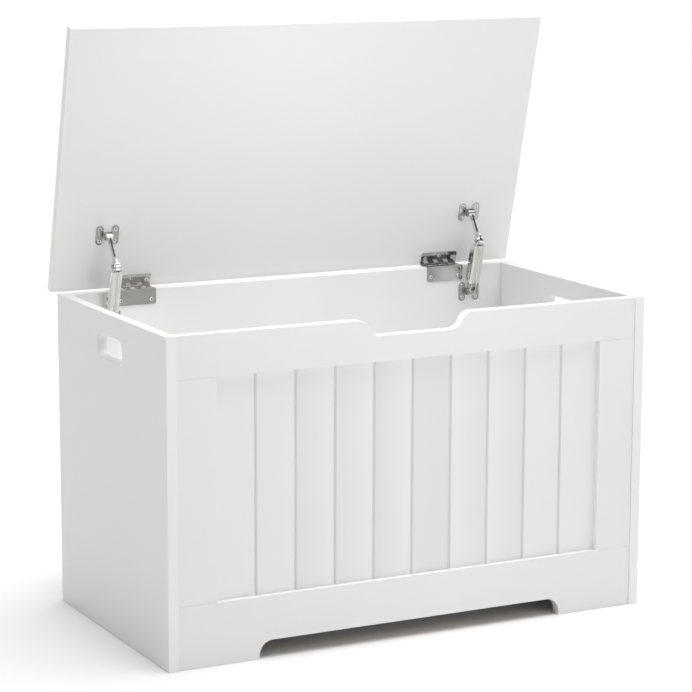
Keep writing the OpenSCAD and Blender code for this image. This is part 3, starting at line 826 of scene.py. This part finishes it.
# %% The node tree that sets the screws
def screw_setter():
    tree = bpy.data.node_groups.new("set_screws", "GeometryNodeTree")
    for label, kind in (("Geometry", "Geometry"), ("Piece", "Object"), ("Facing", "Vector"),
                        ("Seed", "Int"), ("Finish", "Material")):
        tree.interface.new_socket(label, in_out="INPUT", socket_type="NodeSocket" + kind)
    tree.interface.new_socket("Geometry", in_out="OUTPUT", socket_type="NodeSocketGeometry")
    given = tree.nodes.new("NodeGroupInput").outputs
    info = tree.nodes.new("GeometryNodeObjectInfo")
    tree.links.new(given["Piece"], info.inputs["Object"])
    aim = tree.nodes.new("FunctionNodeAlignRotationToVector")
    aim.axis = "Z"
    tree.links.new(given["Facing"], aim.inputs["Vector"])
    chance = tree.nodes.new("FunctionNodeRandomValue")
    chance.data_type = "FLOAT"
    span = [s for s in chance.inputs if s.type == "VALUE"]
    span[0].default_value = 0.0
    span[1].default_value = math.pi / 2
    tree.links.new(given["Seed"], chance.inputs["Seed"])
    spin = tree.nodes.new("FunctionNodeAxisAngleToRotation")
    spin.inputs["Axis"].default_value = (0, 0, 1)
    tree.links.new(next(s for s in chance.outputs if s.type == "VALUE"), spin.inputs["Angle"])
    both = tree.nodes.new("FunctionNodeRotateRotation")
    both.rotation_space = "LOCAL"
    tree.links.new(aim.outputs["Rotation"], both.inputs["Rotation"])
    tree.links.new(spin.outputs["Rotation"], both.inputs["Rotate By"])
    copies = tree.nodes.new("GeometryNodeInstanceOnPoints")
    tree.links.new(given["Geometry"], copies.inputs["Points"])
    tree.links.new(info.outputs["Geometry"], copies.inputs["Instance"])
    tree.links.new(both.outputs["Rotation"], copies.inputs["Rotation"])
    real = tree.nodes.new("GeometryNodeRealizeInstances")
    tree.links.new(copies.outputs["Instances"], real.inputs["Geometry"])
    paint = tree.nodes.new("GeometryNodeSetMaterial")
    tree.links.new(real.outputs["Geometry"], paint.inputs["Geometry"])
    tree.links.new(given["Finish"], paint.inputs["Material"])
    tree.links.new(paint.outputs["Geometry"], tree.nodes.new("NodeGroupOutput").inputs[0])
    return tree


SETTER = screw_setter()
TOWARDS_FRONT, TOWARDS_BACK = Vector((0, -1, 0)), Vector((0, 1, 0))
UPWARDS = Vector((0, 0, 1))
LID_INSIDE = Matrix.Rotation(-closing, 3, "X") @ Vector((0, 0, -1))


def sown(piece, centres, facing, seed, material):
    points = bpy.data.meshes.new("points")
    points.from_pydata(centres, [], [])
    holder = bpy.data.objects.new("work", points)
    bpy.context.collection.objects.link(holder)
    modifier = holder.modifiers.new("sown", "NODES")
    modifier.node_group = SETTER
    values = {"Piece": piece, "Facing": facing, "Seed": seed, "Finish": material}
    for item in SETTER.interface.items_tree:
        if item.in_out == "INPUT" and item.name in values:
            modifier[item.identifier] = values[item.name]
    return baked(holder)


# Two rows that face each other share one node, and each row takes the facing towards the other row.
def set_pieces(node, piece, facings, seed, material=SCREW_NICKEL):
    parts = loose_parts(node)
    middle = sum((p.y for part in parts for p in part), 0.0) / sum(len(part) for part in parts)
    whole = bmesh.new()
    for facing in facings:
        chosen = [head_centre(part, facing) for part in parts
                  if len(facings) == 1 or (part[0].y - middle) * facing.y < 0]
        whole.from_mesh(sown(piece, chosen, facing, seed, material))
    mesh = bpy.data.meshes.new(node)
    whole.to_mesh(mesh)
    whole.free()
    add_piece(node + "_set", mesh, material, BODY_OF[node], [node])
    print(node, len(parts), "set,", len(mesh.polygons), "faces")


set_pieces("hinge_body_screws", SCREW, [TOWARDS_FRONT], 3)
set_pieces("stay_back_screws", SCREW, [TOWARDS_FRONT], 5)
set_pieces("hinge_lid_screws", SCREW, [LID_INSIDE], 7)
set_pieces("stay_lid_screws", SCREW, [LID_INSIDE], 11)
set_pieces("cleat_screws", SCREW, [TOWARDS_FRONT, TOWARDS_BACK], 13)
set_pieces("cam_locks", CAM_LOCK, [TOWARDS_FRONT, TOWARDS_BACK], 17)
set_pieces("lid_bumpers", BUMP_PIECE, [UPWARDS], 19, BUMPER)
for pattern in (SCREW, CAM_LOCK, BUMP_PIECE):
    bpy.data.objects.remove(pattern)

# %% [markdown]
# ## Stay covers
# The cover of each stay is a sheet bent round the channel. Its front has round corners and a shallow
# valley between two ribs, which is what gives it bright upright stripes. The bent line is drawn in
# arcs, pulled along the stay, cut slanting behind at its foot, and then given the sheet's thickness.

# %% Bent line of a cover
COVER_HALF, COVER_FRONT, COVER_BACK = 9 * MM, 8 * MM, 7 * MM
COVER_FOOT, COVER_SHORT, SLANT_FROM, SHEET = 17 * MM, 6 * MM, -1.5 * MM, 1.2 * MM
CORNER, RIB, VALLEY, BEND_STEPS = 3.2 * MM, 4 * MM, 1.1 * MM, 8


def cover_line():
    corner = arc((COVER_HALF - CORNER, CORNER - COVER_FRONT), CORNER, 0, -90, BEND_STEPS)
    valley = [(RIB * (1 - t / BEND_STEPS),
               VALLEY * (1 - math.cos(math.pi / 2 * t / BEND_STEPS)) - COVER_FRONT)
              for t in range(BEND_STEPS)]
    right = [(COVER_HALF, COVER_BACK)] + corner + valley
    return right + [(0, VALLEY - COVER_FRONT)] + mirrored(right)


# %% Covers along the stays
COVER_EASE, COVER_EASE_FROM = 0.25 * MM, 50


def stay_frame(side):
    foot = Vector(joints[side + "_stay_pivot"]["pos_m"])
    low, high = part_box(side + "_elbow_pin")
    top = (Vector(low) + Vector(high)) / 2
    along = top - foot
    lean = math.atan2(-along.y, along.z)
    place = Matrix.Translation((top.x, foot.y, foot.z)) @ Matrix.Rotation(lean, 4, "X")
    return place, math.hypot(along.y, along.z)


def stay_cover(side):
    place, length = stay_frame(side)
    top = length - COVER_SHORT
    shape = bmesh.new()
    pairs = []
    for x, y in cover_line():
        foot = COVER_FOOT + max(0.0, y - SLANT_FROM)
        pairs.append([shape.verts.new((x, y, z)) for z in (foot, top)])
    for (a, b), (c, d) in zip(pairs, pairs[1:]):
        shape.faces.new((a, c, d, b))
    mesh = bpy.data.meshes.new("cover")
    shape.to_mesh(mesh)
    shape.free()
    work = bpy.data.objects.new("work", mesh)
    bpy.context.collection.objects.link(work)
    thick = work.modifiers.new("sheet", "SOLIDIFY")
    thick.thickness = SHEET
    thick.offset = 1
    thick.use_even_offset = True
    ease = work.modifiers.new("ease", "BEVEL")
    ease.width = COVER_EASE
    ease.segments = 2
    ease.limit_method = "ANGLE"
    ease.angle_limit = math.radians(COVER_EASE_FROM)
    mesh = baked(work)
    mesh.transform(place)
    mesh = even_shading(close_up(mesh, ROUND_SHARP))
    node = side + "_stay_cover"
    add_piece(node + "_bent", mesh, POLISHED, BODY_OF[node], [node])
    made = [[round(c / MM, 1) for c in p] for p in extent(mesh)]


for side in ("left", "right"):
    stay_cover(side)

# %% [markdown]
# ## Stamped steel
# Leaves, brackets, arms and channels are stamped from sheet, and a press leaves every edge slightly
# rounded, which is what catches the light. A copy of each part is merged, its flat faces are joined,
# and a narrow bevel goes round each sharp edge.

# %% Stamped parts
STAMPED_EASE = 0.22 * MM
FLAT_WITHIN = 1  # degree, up to which neighbouring faces count as one flat


def stamped(node, material=NICKEL):
    shape = bmesh.new()
    shape.from_mesh(nodes[node].data)
    bmesh.ops.remove_doubles(shape, verts=shape.verts, dist=2 * WELD)
    bmesh.ops.dissolve_limit(shape, angle_limit=math.radians(FLAT_WITHIN), verts=shape.verts,
                             edges=shape.edges)
    mesh = bpy.data.meshes.new(node)
    shape.to_mesh(mesh)
    shape.free()
    work = bpy.data.objects.new("work", mesh)
    bpy.context.collection.objects.link(work)
    ease = work.modifiers.new("ease", "BEVEL")
    ease.width = STAMPED_EASE
    ease.segments = 2
    ease.limit_method = "ANGLE"
    ease.angle_limit = math.radians(ROUND_SHARP)
    mesh = even_shading(close_up(baked(work), ROUND_SHARP))
    add_piece(node + "_stamped", mesh, material, BODY_OF[node], [node])
    print(node, len(mesh.polygons), "faces")


for side in ("left", "right"):
    for part in ("hinge_body_leaf", "hinge_lid_leaf", "stay_back_bracket", "stay_lid_bracket"):
        stamped(side + "_" + part)
    for part in ("stay_channel", "stay_arm"):
        stamped(side + "_" + part, POLISHED)
